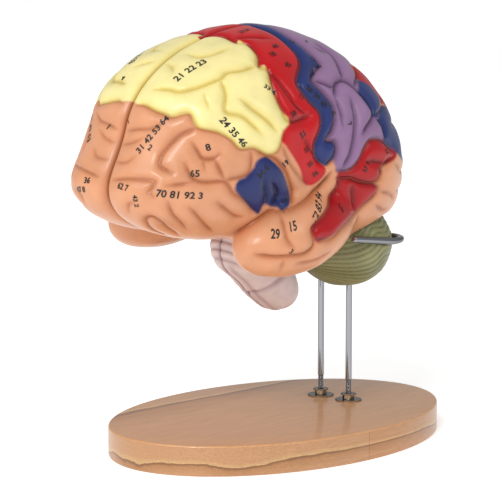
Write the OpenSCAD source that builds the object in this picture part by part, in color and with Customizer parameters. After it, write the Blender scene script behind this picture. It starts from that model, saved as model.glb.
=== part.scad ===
// Twice life-size brain model for teaching, held by two bent rods on an oval board.
// Frame: +Z up, board's long axis along Y, frontal lobes towards -Y, left side at +X.
// The origin is the middle of the board's underside. All sizes are millimetres.

/* [Oval board] */
// Length of the oval board along Y
board_len = 360; // [320:1:420]
// Width of the oval board along X
board_wid = 243; // [200:1:300]
// Thickness of the board
board_thk = 27; // [22:1:40]
// Radius that eases the board's top and bottom edges
board_ease = 2; // [1:0.5:5]
// Straight sides round the oval outline
board_sides = 72; // [48:4:96]

/* [Cradle rods] */
// Diameter of the chrome-plated rods
rod_d = 6; // [5:0.5:8]
// Diameter of the threaded foot of each rod
thread_d = 5.4; // [4:0.1:5.8]
// Distance between the two legs
leg_gap = 35; // [30:1:60]
// Distance of the legs behind the middle of the board
leg_y = 80; // [70:1:85]
// Height of the cradle's centreline above the table
cradle_z = 187.3; // [186:0.5:189]
// Radius of the bend at the top of each leg, on the centreline
leg_bend_r = 14; // [10:1:20]
// Half the width of the cradle at its back corners, on the centreline
corner_x = 94.5; // [92:0.5:98]
// Radius of the back corners, on the centreline
corner_r = 27; // [24:1:30]
// Angle by which the side arms run inwards as they come forward
arm_toe_in = 6; // [4:1:10]
// Rise of the arms towards the front, in degrees
arm_rise = 6.6; // [0:0.2:12]
// Straight length of each side arm
arm_len = 47; // [40:1:52]
// Flat sides round each rod
rod_sides = 12; // [8:4:24]
// Chamfer at the front end of each side arm
tip_chamfer = 1.5; // [0.5:0.1:2]
// Clearance between a rod and what seats on it
seat_gap = 0.3; // [0.2:0.1:0.6]
// Depth by which the slots for the rods are open to the outside
slot_open = 12; // [8:1:20]

/* [Foot hardware] */
// Outer diameter of the wide washers on the board
washer_d = 25; // [20:1:30]
// Thickness of the wide washers
washer_thk = 1.2; // [1:0.1:2]
// Diameter of the flange nut's rim
rim_d = 14.6; // [13:0.1:17]
// Thickness of the flange nut's rim
rim_thk = 1.6; // [1:0.1:3]
// Width across the flats of the nuts
nut_af = 10; // [9:0.5:12]
// Height of the nuts
nut_h = 5.6; // [5:0.1:7]
// Length of bare thread above the flange nut
thread_show = 13; // [6:1:20]
// Diameter of the hole in the board for each rod
board_hole_d = 6.6; // [6:0.1:7.5]
// Diameter of the pocket under the board for the lower nut
pocket_d = 24; // [20:1:30]
// Depth of the pocket under the board
pocket_depth = 12; // [10:1:16]
// Outer diameter of the washer in the pocket
under_washer_d = 18; // [14:1:19]
// Radial clearance of a washer or nut round the thread
thread_gap = 0.05; // [0.02:0.01:0.2]

/* [Lobes of the cerebrum] */
// Middle of the frontal lobe
frontal_at = [17, -104, 288];
// Half sizes of the frontal lobe along X, Y and Z
frontal_half = [74, 92, 74];
// Middle of the orbital part, under the frontal lobe
orbital_at = [24, -121, 243];
// Half sizes of the orbital part
orbital_half = [55, 91, 38];
// Middle of the crown, which carries the motor and sensory strips
crown_at = [2, -38, 297];
// Half sizes of the crown
crown_half = [83, 103, 86];
// Middle of the occipital lobe
occipital_at = [31, 47, 251];
// Half sizes of the occipital lobe
occipital_half = [57, 50, 53];
// Middle of the side lobe, above the ear
side_at = [48, 10, 266];
// Half sizes of the side lobe
side_half = [51, 60, 76];
// Middle of the temporal lobe
temporal_at = [81, -62, 208];
// Half sizes of the temporal lobe
temporal_half = [35, 67, 34];
// Angle by which the temporal lobe's rear end is raised
temporal_pitch = 11; // [5:1:15]
// Width over which the lobes melt into each other
lobe_blend = 45; // [35:1:50]
// Width over which the temporal lobe melts into the rest
temporal_blend = 12; // [8:1:16]

/* [Folds] */
// Depth of a main fold
fold_depth = 5.5; // [2:0.5:7]
// Half width of a fold, from its floor to the crown of the gyrus
fold_half = 11; // [7:0.5:14]
// Depth of the rounded edge along the midline
midline_depth = 6; // [3:0.5:8]
// Half width of the rounded edge along the midline
midline_half = 13; // [8:1:18]
// Cells of the cerebrum's mesh across each hemisphere
cerebrum_cells = 44; // [24:2:46]

/* [Cerebellum] */
// Middle of one half of the cerebellum
cerebellum_at = [44, 42, 188];
// Half sizes of one half of the cerebellum
cerebellum_half = [51, 40, 42];
// Ribs from the midline below to the midline above
folia_count = 11; // [7:1:13]
// Depth of the furrows between the ribs
folia_depth = 2.2; // [1:0.1:3]

/* [Brainstem] */
// Middle of the pons
pons_at = [0, -36, 184];
// Half sizes of the pons
pons_half = [32, 36, 32];
// Middle of the upper medulla
medulla_at = [0, -14, 158];
// Half sizes of the upper medulla
medulla_half = [26, 29, 27];
// Middle of the cut lower end
stem_end_at = [0, 3, 138];
// Half sizes of the cut lower end
stem_end_half = [23, 21, 19];

/* [Fit of the pieces] */
// Gap between the cerebrum, the cerebellum and the brainstem
piece_gap = 0.7; // [0.5:0.1:0.9]
// Gap between the lobes and the cerebellum, wider for the flats of the mesh
hollow_gap = 1.4; // [1:0.1:2]
// Diameter of the pegs between the cerebral hemispheres
cerebrum_peg_d = 8; // [6:1:12]
// Length of the pegs between the cerebral hemispheres
cerebrum_peg_len = 30; // [20:1:50]
// Diameter of the pegs in the cerebellum and the brainstem
small_peg_d = 6; // [4:1:8]
// Length of the pegs in the cerebellum and the brainstem
small_peg_len = 22; // [16:1:30]
// Clearance round and at the end of a peg
peg_gap = 0.2; // [0.1:0.05:0.4]
// Angle by which the brain leans to its left in the cradle
brain_lean = 4; // [2:0.5:4.5]
// Angle by which the brain is turned in the cradle, seen from above
brain_turn = -1; // [-2:0.5:1]

/* [Hidden] */
$fn = 48;
// Sideways place of the brain and the height of the point it leans about
brain_x = -2;
lean_z = 200;
// Points from which the surfaces of the three organs are measured
cerebrum_hub = [0, -25, 262];
cerebellum_hub = [0, 42, 187];
stem_hub = [0, -16, 163];
// Stretch of the mesh's directions, so that its cells come out about equal
cerebrum_stretch = [0.75, 1.15, 0.9];
even_stretch = [1, 1, 1];
// Distance that lies outside every organ, and halvings of the search for a surface
far = 260;
halvings = 13;
// Share of a cell within which a corner is drawn onto a fold's floor
snap_share = 0.42;
// Places of the pegs along Y and Z
cerebrum_peg_places = [[-120, 275], [0, 300]];
cerebellum_peg_place = [42, 187];
stem_peg_place = [-18, 164];
// Heights at the feet of the rods
nut_bottom = board_thk + washer_thk;
thread_top = nut_bottom + nut_h + thread_show;
rod_bottom = pocket_depth - washer_thk - nut_h - 1;
// Colours
wood_colour = "burlywood";
metal_colour = "silver";
flesh_colour = [0.87, 0.62, 0.49];
olive_colour = [0.51, 0.52, 0.36];
stem_colour = [0.86, 0.76, 0.74];
peg_colour = "white";

// Folds of the left hemisphere: a share of the fold depth, then points on the mesh's
// square map, in hundredths. Across runs front to back, up runs from below to above.
folds = [
  // side fissure, between the frontal and temporal lobes
  [1.5, [[-46, -32], [-41, -25], [-36, -20], [-32, -17], [-27, -16], [-18, -13], [-13, -11],
         [-9, -8], [-6, -4], [-3, 1], [-3, 5]]],
  // central fold, between the motor and sensory strips
  [1, [[-22, 98], [-15, 81], [-11, 64], [-12, 55], [-17, 47], [-18, 42], [-14, 35],
       [-10, 30], [-9, 26], [-10, 21], [-13, 14], [-12, 8], [-8, 4]]],
  // fold in front of the motor strip
  [1, [[-66, 97], [-58, 94], [-49, 86], [-43, 76], [-37, 72], [-34, 62], [-35, 54],
       [-31, 51], [-31, 44], [-30, 36], [-28, 30], [-25, 25], [-15, 28]]],
  // fold within the motor strip
  [0.7, [[-31, 51], [-28, 45], [-25, 39], [-22, 33], [-17, 28]]],
  [0.5, [[-44, 80], [-30, 77], [-22, 74]]],
  [0.6, [[-19, 18], [-16, 14], [-12, 8]]],
  // fold behind the sensory strip
  [1, [[-6, 92], [-5, 78], [-3, 68], [0, 55], [-6, 50], [-9, 45], [-5, 38], [-2, 32],
       [-2, 26], [-4, 20], [-7, 16], [-3, 15], [-2, 11], [-4, 6], [-8, 4]]],
  // folds of the parietal lobe
  [1, [[0, 36], [3, 42], [8, 44], [13, 40], [16, 35], [18, 30], [18, 25], [13, 20], [10, 17]]],
  [0.8, [[8, 34], [8, 26], [6, 16], [4, 8], [1, 2]]],
  [0.6, [[0, 35], [1, 28], [1, 22]]],
  [0.7, [[-9, 45], [-4, 43], [0, 41], [3, 42]]],
  [0.8, [[8, 44], [11, 52], [13, 61], [10, 70]]],
  [0.6, [[5, 66], [10, 61]]],
  [0.6, [[18, 25], [24, 27], [30, 31], [36, 38]]],
  [0.8, [[13, 40], [19, 45], [25, 52], [30, 62], [28, 74]]],
  [0.6, [[22, 13], [22, 20], [18, 25]]],
  // edge between the peach and the yellow fields of the frontal lobe
  [0.8, [[-93, 51], [-88, 48], [-80, 40], [-75, 36], [-71, 33], [-64, 33], [-60, 25],
         [-53, 22], [-48, 18], [-45, 14], [-40, 14], [-35, 11], [-31, 12], [-29, 17], [-28, 21]]],
  // folds of the upper frontal lobe
  [0.8, [[-84, 57], [-75, 51], [-70, 47], [-64, 46], [-58, 47], [-52, 49], [-49, 52],
         [-43, 52], [-36, 54]]],
  [0.8, [[-52, 49], [-50, 40], [-50, 31], [-44, 28], [-37, 20]]],
  [0.8, [[-44, 36], [-40, 31], [-35, 26], [-31, 21]]],
  [0.5, [[-58, 41], [-56, 33]]],
  [0.5, [[-72, 78], [-64, 70], [-56, 68], [-48, 70]]],
  [0.5, [[-86, 80], [-80, 72], [-76, 64]]],
  // folds of the lower frontal lobe
  [0.8, [[-60, 25], [-66, 23], [-70, 19], [-73, 14], [-74, 10], [-73, 6], [-68, 3]]],
  [0.9, [[-62, 18], [-60, 13], [-58, 10], [-54, 10], [-52, 12]]],
  [0.7, [[-58, 10], [-57, 5]]],
  [0.8, [[-54, 10], [-52, 5], [-50, 0]]],
  [0.8, [[-50, 0], [-45, 1], [-42, 3], [-41, 7], [-41, 13]]],
  [0.9, [[-64, 8], [-62, 2], [-60, 0], [-57, -1], [-50, -1], [-47, -6], [-43, -10], [-38, -18]]],
  [0.7, [[-69, -3], [-64, -2], [-61, -1]]],
  [0.8, [[-52, -10], [-50, -13], [-46, -18], [-43, -19]]],
  [0.8, [[-61, -13], [-59, -17], [-57, -23], [-55, -30]]],
  [0.8, [[-68, -11], [-67, -17], [-65, -23], [-64, -28]]],
  [0.8, [[-77, -42], [-79, -34], [-79, -29], [-78, -24], [-75, -21], [-72, -24], [-71, -29],
         [-69, -36]]],
  [0.5, [[-81, -14], [-84, -17], [-85, -23]]],
  [0.6, [[-95, -5], [-86, -2], [-75, -1], [-74, -4], [-75, -7], [-73, -9]]],
  [0.4, [[-97, 8], [-90, 8], [-86, 12]]],
  [0.4, [[-97, 22], [-90, 22], [-84, 24]]],
  [0.5, [[-96, 33], [-88, 31], [-81, 29], [-75, 30]]],
  // folds round and within the speech field
  [0.8, [[-40, 14], [-36, 11], [-32, 9], [-27, 3], [-24, -4], [-22, -10], [-23, -14]]],
  [0.5, [[-29, 15], [-25, 6], [-19, -2], [-15, -6]]],
  [0.8, [[-34, -14], [-35, -7], [-36, -1]]],
  [0.8, [[-30, -15], [-30, -8], [-33, -2]]],
  // folds of the temporal lobe
  [0.7, [[-28, -17], [-27, -20], [-26, -23], [-23, -26]]],
  [0.9, [[0, -1], [0, -8], [-4, -12], [-9, -15], [-13, -17], [-17, -20], [-16, -25],
         [-19, -28], [-24, -29], [-30, -30], [-36, -31]]],
  [0.8, [[-16, -23], [-9, -24], [-4, -22], [1, -21], [7, -21], [11, -20], [15, -16], [19, -11],
         [19, -8], [16, -6]]],
  [0.5, [[-26, -30], [-26, -36]]],
  [0.5, [[-21, -32], [-14, -32], [-8, -29]]],
  [0.6, [[12, -21], [14, -27], [15, -32]]],
  // folds of the two red fields
  [1.1, [[-1, -3], [5, -3], [10, -5], [16, -6], [19, -4], [20, 1], [27, 5]]],
  [0.8, [[12, 5], [16, 4], [21, 3]]],
  [0.8, [[6, -6], [8, -12], [9, -19]]],
  [0.8, [[-2, 1], [4, 1], [8, 5], [11, 11], [14, 14], [18, 14], [22, 12], [28, 7]]],
  // folds of the back and the underside
  [0.6, [[20, -17], [25, -20], [30, -21]]],
  [0.6, [[20, -10], [27, -12], [33, -16]]],
  [0.6, [[28, 2], [36, -3], [46, -4]]],
  [0.8, [[30, 62], [38, 54], [46, 50], [56, 52], [66, 60]]],
  [0.8, [[33, 20], [42, 22], [50, 30], [58, 40]]],
  [0.7, [[40, 6], [50, 10], [60, 14], [72, 22]]],
  [0.7, [[34, -12], [44, -14], [54, -8], [66, -2], [80, 2]]],
  [0.7, [[32, -26], [42, -28], [54, -24], [68, -16]]],
  [0.7, [[70, 36], [80, 30], [90, 20]]],
  [0.6, [[-20, -50], [-6, -48], [8, -44], [22, -42]]],
  [0.6, [[-70, -56], [-62, -66], [-52, -74]]],
  [0.6, [[-84, -52], [-78, -66], [-66, -80]]]];

// Distance from an ellipsoid's surface, negative inside. The pitch raises its rear end.
function ellipsoid(p, at, half, pitch = 0) =
  let(q = p - at,
      y = q[1] * cos(pitch) + q[2] * sin(pitch),
      z = q[2] * cos(pitch) - q[1] * sin(pitch))
  (norm([q[0] / half[0], y / half[1], z / half[2]]) - 1)
    * pow(half[0] * half[1] * half[2], 1 / 3);

// Smaller of two distances, rounded over the width k where they are alike.
function melt(a, b, k) =
  let(h = min(max(0.5 + 0.5 * (b - a) / k, 0), 1))
  b * (1 - h) + a * h - k * h * (1 - h);

function lobes_at(p) =
  let(a = ellipsoid(p, frontal_at, frontal_half),
      b = melt(a, ellipsoid(p, orbital_at, orbital_half), lobe_blend),
      c = melt(b, ellipsoid(p, crown_at, crown_half), lobe_blend),
      d = melt(c, ellipsoid(p, occipital_at, occipital_half), lobe_blend),
      e = melt(d, ellipsoid(p, side_at, side_half), lobe_blend))
  melt(e, ellipsoid(p, temporal_at, temporal_half, temporal_pitch), temporal_blend);

function stem_at(p) =
  let(a = ellipsoid(p, pons_at, pons_half),
      b = melt(a, ellipsoid(p, medulla_at, medulla_half), 14),
      c = melt(b, ellipsoid(p, stem_end_at, stem_end_half), 14))
  max(c, piece_gap - lobes_at(p));

function small_brain_at(p) =
  max(ellipsoid(p, cerebellum_at, cerebellum_half), piece_gap - stem_at(p));

// The lobes are hollowed over the cerebellum, which sits in them as an egg in its cup.
function cerebrum_at(p) =
  max(lobes_at(p), hollow_gap - ellipsoid(p, cerebellum_at, cerebellum_half));

function organ_at(organ, p) =
  organ == "cerebrum" ? cerebrum_at(p) : organ == "stem" ? stem_at(p) : small_brain_at(p);

// Distance from the hub to an organ's surface along n, by halving.
function reach(organ, hub, n, near = 0, away = far, i = halvings) =
  let(m = (near + away) / 2)
  i == 0 ? m
  : organ_at(organ, hub + n * m) < 0 ? reach(organ, hub, n, m, away, i - 1)
  : reach(organ, hub, n, near, m, i - 1);

// Direction for a place on the square map: the square is rounded to a disc, and the disc
// is bent to the half sphere of directions whose pole is +X.
function heading(s, t, stretch) =
  let(u = s * sqrt(1 - t * t / 2),
      v = t * sqrt(1 - s * s / 2),
      w = norm([u, v]),
      k = w > 0.000001 ? sin(90 * w) / w : 0,
      d = [abs(w - 1) < 0.000001 ? 0 : cos(90 * w) * stretch[0],
           u * k * stretch[1], v * k * stretch[2]])
  d / norm(d);

function surface_point(organ, hub, n) = hub + n * reach(organ, hub, n);

// Drop of the surface at distance d from a fold's floor: the quarter of a round gyrus.
function drop(d, half) = d >= half ? 0 : 1 - sqrt(1 - pow(1 - d / half, 2));

function foot_on(p, a, b) =
  let(ab = b - a, k = min(max((p - a) * ab / (ab * ab), 0), 1)) a + ab * k;

// Deepest of the folds at p: how far the surface drops, and the nearest floor point.
function fold_at(p, lines) =
  let(feet = [for (f = lines, i = [1:len(f[1]) - 1]) [f[0], foot_on(p, f[1][i - 1], f[1][i])]],
      gaps = [for (f = feet) norm(p - f[1])],
      drops = [for (i = [0:len(feet) - 1]) feet[i][0] * drop(gaps[i], fold_half)],
      least = min(gaps))
  [max(drops), least, feet[search(least, gaps)[0]][1]];

// One corner of the cerebrum's mesh: it moves onto a fold's floor that runs close by.
function cerebrum_corner(s, t, lines, cell) =
  let(n = heading(s, t, cerebrum_stretch),
      rim = max(abs(s), abs(t)) > 0.999,
      p = surface_point("cerebrum", cerebrum_hub, n),
      f = fold_at(p, lines),
      near = !rim && f[1] < snap_share * cell,
      m = near ? (f[2] - cerebrum_hub) / norm(f[2] - cerebrum_hub) : n,
      q = near ? surface_point("cerebrum", cerebrum_hub, m) : p,
      fall = max(fold_depth * (near ? max(f[0], fold_at(q, lines)[0]) : f[0]),
                 midline_depth * drop(q[0], midline_half)))
  q - m * fall;

function cerebellum_corner(s, t) =
  let(n = heading(s, t, even_stretch),
      p = surface_point("cerebellum", cerebellum_hub, n),
      turn = atan2(p[2] - cerebellum_hub[2], p[0]),
      rib = 0.5 - 0.5 * cos(360 * folia_count * (turn + 90) / 180))
  p - n * (folia_depth * (1 - rib) + 4 * drop(p[0], 8));

function stem_corner(s, t) =
  let(n = heading(s, t, even_stretch), p = surface_point("stem", stem_hub, n))
  p - n * (2 * drop(p[0], 6));

// Closed half organ: the bent square of corners, and its rim as the flat midline face.
// The cells' diagonals point at the square's corners, so that no triangle lies in the rim.
module half_organ(corners, across, up) {
  row = up + 1;
  cells = [for (i = [0:across - 1], j = [0:up - 1])
    let(a = i * row + j, b = a + row, c = b + 1, d = a + 1,
        same = (i < across / 2) == (j < up / 2))
    each same ? [[a, b, c], [a, c, d]] : [[a, b, d], [b, c, d]]];
  rim = concat(
    [for (j = [0:up - 1]) j],
    [for (i = [0:across - 1]) i * row + up],
    [for (j = [up:-1:1]) across * row + j],
    [for (i = [across:-1:1]) i * row]);
  polyhedron(points = corners, faces = concat([for (f = cells) [f[2], f[1], f[0]]],
    [[for (i = [len(rim) - 1:-1:0]) rim[i]]]), convexity = 10);
}

// Puts the brain into the cradle, with its lean and its turn.
module in_cradle() {
  translate([brain_x, 0, lean_z])
    rotate([0, 0, brain_turn])
      rotate([0, brain_lean, 0])
        translate([0, 0, -lean_z])
          children();
}

// Bores for pegs that lie along X, half in each side, at places given along Y and Z.
module pegs(places, d, length, gap = 0) {
  for (place = places)
    translate([-length / 2 - gap, place[0], place[1]])
      rotate([0, 90, 0])
        cylinder(d = d + 2 * gap, h = length + 2 * gap);
}

// Rings along one bent rod: each has its middle, two directions across and a radius.
// They go up the thread and the leg, round the bend, round the corner and along the arm.
// The first direction across always points out of the cradle.
function rod_rings(grow) =
  let(r = (rod_d / 2 + grow) / (grow > 0 ? cos(180 / rod_sides) : 1),
      leg_x = leg_gap / 2,
      bar_end = corner_x - corner_r,
      turn = 90 + arm_toe_in,
      ahead = [cos(turn) * cos(arm_rise), -sin(turn) * cos(arm_rise), sin(arm_rise)],
      down = function(rise) [cos(turn) * sin(rise), -sin(turn) * sin(rise), -cos(rise)],
      arm_start = [bar_end + corner_r * sin(turn), leg_y - corner_r + corner_r * cos(turn), cradle_z],
      arm_across = [sin(turn), cos(turn), 0])
  concat(
    [for (step = [[rod_bottom, thread_d / 2], [thread_top, thread_d / 2], [thread_top, r]])
      [[leg_x, leg_y, step[0]], [0, 1, 0], [1, 0, 0], step[1]]],
    [for (a = [0:18:90])
      [[leg_x + leg_bend_r * (1 - cos(a)), leg_y, cradle_z - leg_bend_r * (1 - sin(a))],
       [0, 1, 0], [cos(a), 0, -sin(a)], r]],
    [for (i = [0:8])
      let(a = turn * i / 8)
      [[bar_end + corner_r * sin(a), leg_y - corner_r * (1 - cos(a)), cradle_z],
       [sin(a), cos(a), 0], down(i == 8 ? arm_rise / 2 : 0), r]],
    [[arm_start + ahead * arm_len, arm_across, down(arm_rise), r],
     [arm_start + ahead * (arm_len + tip_chamfer), arm_across, down(arm_rise), r - tip_chamfer]]);

// One bent rod as a skin over its rings. For a seat, grow widens it and
// open draws its outer side outwards, so that it leaves a slot.
module rod_skin(grow = 0, open = 0) {
  rings = rod_rings(grow);
  last = len(rings) - 1;
  points = [for (ring = rings, k = [0:rod_sides - 1])
    let(a = 360 * k / rod_sides)
    ring[0] + ring[1] * (cos(a) * ring[3] + (cos(a) > 0.1 ? open : 0)) + ring[2] * sin(a) * ring[3]];
  sides = [for (i = [0:last - 1], k = [0:rod_sides - 1])
    let(a = i * rod_sides + k, b = i * rod_sides + (k + 1) % rod_sides)
    each [[a, b, b + rod_sides], [a, b + rod_sides, a + rod_sides]]];
  foot = [for (k = [rod_sides - 1:-1:0]) k];
  tip = [for (k = [0:rod_sides - 1]) last * rod_sides + k];
  polyhedron(points = points, faces = concat(sides, [foot, tip]), convexity = 6);
}

module cradle_rod() {
  color(metal_colour) rod_skin();
}

module at_feet() {
  for (side = [-1, 1]) translate([side * leg_gap / 2, leg_y, 0]) children();
}

// Ring of the oval board's outline at one height, drawn in by an amount.
function oval_ring(inset, z) =
  [for (i = [0:board_sides - 1])
    let(a = 360 * i / board_sides)
    [(board_wid / 2 - inset) * cos(a), (board_len / 2 - inset) * sin(a), z]];

module oval_slab() {
  steps = [for (a = [0:45:90]) [board_ease * (1 - sin(a)), board_ease * (1 - cos(a))]];
  levels = concat(steps, [for (i = [2:-1:0]) [steps[i][0], board_thk - steps[i][1]]]);
  rings = [for (level = levels) each oval_ring(level[0], level[1])];
  last = len(levels) - 1;
  sides = [for (k = [0:last - 1], i = [0:board_sides - 1])
    let(j = (i + 1) % board_sides, a = k * board_sides + i, b = k * board_sides + j,
        c = b + board_sides, d = a + board_sides)
    each [[a, c, b], [a, d, c]]];
  bottom = [for (i = [0:board_sides - 1]) i];
  top = [for (i = [board_sides - 1:-1:0]) last * board_sides + i];
  polyhedron(points = rings, faces = concat(sides, [bottom, top]), convexity = 2);
}

module base_board() {
  color(wood_colour)
    difference() {
      oval_slab();
      at_feet() {
        translate([0, 0, -1]) cylinder(d = board_hole_d, h = board_thk + 2);
        translate([0, 0, -1]) cylinder(d = pocket_d, h = pocket_depth + 1);
      }
    }
}

module washer(outer, thk) {
  difference() {
    cylinder(d = outer, h = thk);
    translate([0, 0, -1]) cylinder(d = thread_d + 2 * thread_gap, h = thk + 2);
  }
}

module hex_nut(height) {
  difference() {
    cylinder(d = nut_af / cos(30), h = height, $fn = 6);
    translate([0, 0, -1]) cylinder(d = thread_d + 2 * thread_gap, h = height + 2);
  }
}

module foot_washers() {
  color(metal_colour) at_feet() translate([0, 0, board_thk]) washer(washer_d, washer_thk);
}

// The flange nuts are fitted with their rim uppermost.
module flange_nuts() {
  color(metal_colour)
    at_feet() translate([0, 0, nut_bottom]) {
      hex_nut(nut_h - rim_thk);
      translate([0, 0, nut_h - rim_thk]) washer(rim_d, rim_thk);
    }
}

module under_washers() {
  color(metal_colour)
    at_feet()
      translate([0, 0, pocket_depth - washer_thk]) washer(under_washer_d, washer_thk);
}

module under_nuts() {
  color(metal_colour)
    at_feet() translate([0, 0, pocket_depth - washer_thk - nut_h]) hex_nut(nut_h);
}

module left_cerebrum() {
  lines = [for (f = folds)
    [f[0], [for (p = f[1])
      surface_point("cerebrum", cerebrum_hub,
                    heading(p[0] / 100, p[1] / 100, cerebrum_stretch))]]];
  cell = far / cerebrum_cells;
  corners = [for (i = [0:cerebrum_cells], j = [0:cerebrum_cells])
    cerebrum_corner(2 * i / cerebrum_cells - 1, 2 * j / cerebrum_cells - 1, lines, cell)];
  difference() {
    half_organ(corners, cerebrum_cells, cerebrum_cells);
    pegs(cerebrum_peg_places, cerebrum_peg_d, cerebrum_peg_len, peg_gap);
  }
}

module left_cerebellum() {
  across = 14;
  up = 4 * folia_count;
  corners = [for (i = [0:across], j = [0:up])
    cerebellum_corner(2 * i / across - 1, 2 * j / up - 1)];
  difference() {
    half_organ(corners, across, up);
    pegs([cerebellum_peg_place], small_peg_d, small_peg_len, peg_gap);
  }
}

module left_stem() {
  across = 14;
  up = 16;
  corners = [for (i = [0:across], j = [0:up]) stem_corner(2 * i / across - 1, 2 * j / up - 1)];
  difference() {
    half_organ(corners, across, up);
    pegs([stem_peg_place], small_peg_d, small_peg_len, peg_gap);
  }
}

module cerebrum_left() {
  color(flesh_colour) in_cradle() left_cerebrum();
}

module cerebrum_right() {
  color(flesh_colour) in_cradle() mirror([1, 0, 0]) left_cerebrum();
}

// The back of the cerebellum is hollowed along the rods that it leans on.
// Slot, open to the outside, that the cerebellum sits on a rod with.
module rod_slot() {
  rod_skin(seat_gap, slot_open);
}

module cerebellum_left() {
  color(olive_colour)
    difference() {
      in_cradle() left_cerebellum();
      rod_slot();
    }
}

module cerebellum_right() {
  color(olive_colour)
    difference() {
      in_cradle() mirror([1, 0, 0]) left_cerebellum();
      mirror([1, 0, 0]) rod_slot();
    }
}

module brainstem_left() {
  color(stem_colour) in_cradle() left_stem();
}

module brainstem_right() {
  color(stem_colour) in_cradle() mirror([1, 0, 0]) left_stem();
}

module cerebrum_pegs() {
  color(peg_colour) in_cradle() pegs(cerebrum_peg_places, cerebrum_peg_d, cerebrum_peg_len);
}

module cerebellum_peg() {
  color(peg_colour) in_cradle() pegs([cerebellum_peg_place], small_peg_d, small_peg_len);
}

module brainstem_peg() {
  color(peg_colour) in_cradle() pegs([stem_peg_place], small_peg_d, small_peg_len);
}

base_board();
cradle_rod();  // cradle_rod_left
mirror([1, 0, 0]) cradle_rod();  // cradle_rod_right
foot_washers();
flange_nuts();
under_washers();
under_nuts();
cerebrum_left();
cerebrum_right();
cerebrum_pegs();
cerebellum_left();
cerebellum_right();
cerebellum_peg();
brainstem_left();
brainstem_right();
brainstem_peg();
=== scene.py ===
import bpy
import numpy as np
from mathutils import Matrix, Vector


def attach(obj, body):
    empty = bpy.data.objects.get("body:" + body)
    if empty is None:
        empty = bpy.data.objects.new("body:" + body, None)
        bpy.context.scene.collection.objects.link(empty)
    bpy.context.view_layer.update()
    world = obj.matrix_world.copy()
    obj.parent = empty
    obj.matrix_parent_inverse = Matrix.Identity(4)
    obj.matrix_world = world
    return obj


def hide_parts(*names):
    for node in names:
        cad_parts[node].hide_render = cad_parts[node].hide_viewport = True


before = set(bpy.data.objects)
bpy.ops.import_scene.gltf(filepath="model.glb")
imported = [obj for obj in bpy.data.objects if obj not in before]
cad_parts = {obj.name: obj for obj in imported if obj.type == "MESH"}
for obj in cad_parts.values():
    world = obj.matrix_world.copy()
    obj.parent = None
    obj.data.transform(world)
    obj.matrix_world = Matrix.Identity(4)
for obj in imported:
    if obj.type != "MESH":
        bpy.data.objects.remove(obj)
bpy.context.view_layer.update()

# Twice life-size brain model on two bent rods and an oval board, in metres.
# Shapes are worked out in millimetres, as the part's source has them.
mm = 0.001

view = {
    "target": (-0.0336, -0.0011, 0.1728),   # point in the middle of the picture
    "eye": (1.3329, -1.4337, 0.4292),       # the photograph's viewpoint
    "lens": 155.3,                          # on a 36 mm wide sensor
}


def lookFrom(place, aim):
    # at the place, facing the aim, with its top towards +Z
    turned = (Vector(aim) - Vector(place)).to_track_quat("-Z", "Y")
    return Matrix.Translation(Vector(place)) @ turned.to_matrix().to_4x4()


def makeCamera():
    # looks from the eye to the target, with the picture's top towards +Z
    data = bpy.data.cameras.new("camera")
    data.sensor_width = 36
    data.lens = view["lens"]
    data.clip_end = 50
    camera = bpy.data.objects.new("camera", data)
    bpy.context.scene.collection.objects.link(camera)
    camera.matrix_world = lookFrom(view["eye"], view["target"])
    bpy.context.scene.camera = camera


makeCamera()
bpy.context.scene.view_settings.view_transform = "Standard"
print("camera set")


# Materials
def linear(hexColour):
    # sRGB hex to linear light: each channel through the sRGB curve
    channels = [int(hexColour[i:i + 2], 16) / 255 for i in (1, 3, 5)]
    return tuple(c / 12.92 if c <= 0.04045 else ((c + 0.055) / 1.055) ** 2.4 for c in channels)


def addNode(material, kind, settings=None, **links):
    # one node with its settings; a link is given as socketName=value or socketName=(node, output)
    node = material.node_tree.nodes.new(kind)
    for key, value in (settings or {}).items():
        setattr(node, key, value)
    for key, value in links.items():
        socket = node.inputs[int(key[1:]) if key[0] == "i" and key[1:].isdigit() else key.replace("_", " ")]
        if isinstance(value, tuple) and isinstance(value[0], bpy.types.Node):
            material.node_tree.links.new(value[0].outputs[value[1]], socket)
        else:
            socket.default_value = value
    return node


def newMaterial(name, **shaderValues):
    # a Principled shader whose uniform values stand on its own sockets
    material = bpy.data.materials.new(name)
    material.use_nodes = True
    shader = material.node_tree.nodes["Principled BSDF"]
    for key, value in shaderValues.items():
        shader.inputs[key.replace("_", " ")].default_value = value
    return material, shader


def linkTo(material, node, output, shader, socket):
    material.node_tree.links.new(node.outputs[output], shader.inputs[socket])


def paintedPvc(name, roughness, grain, bump):
    # rotation-moulded PVC with brushed paint: a soft gloss, faint brush clouds in the colour,
    # and a skin that is slightly uneven where the paint pooled
    material, shader = newMaterial(name, Roughness=roughness, IOR=1.5, Specular_IOR_Level=0.27,
                                   Coat_Weight=0.12, Coat_Roughness=0.14)
    place = addNode(material, "ShaderNodeTexCoord")
    # the point colour named paint holds each field's paint with the painted shade of its folds
    paint = addNode(material, "ShaderNodeAttribute", {"attribute_name": "paint"})
    clouds = addNode(material, "ShaderNodeTexNoise", Vector=(place, "Object"),
                     Scale=1 / (grain * mm), Detail=3.0, Roughness=0.55)
    tone = addNode(material, "ShaderNodeMapRange", Value=(clouds, "Fac"),
                   i1=0.3, i2=0.7, i3=0.93, i4=1.06)
    tinted = addNode(material, "ShaderNodeVectorMath", {"operation": "SCALE"},
                     i0=(paint, "Color"), Scale=(tone, "Result"))
    linkTo(material, tinted, "Vector", shader, "Base Color")
    skin = addNode(material, "ShaderNodeTexNoise", Vector=(place, "Object"),
                   Scale=1 / (2.5 * mm), Detail=2.0)
    relief = addNode(material, "ShaderNodeBump", Height=(skin, "Fac"),
                     Strength=bump, Distance=0.4 * mm)
    linkTo(material, relief, "Normal", shader, "Normal")
    return material


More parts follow.
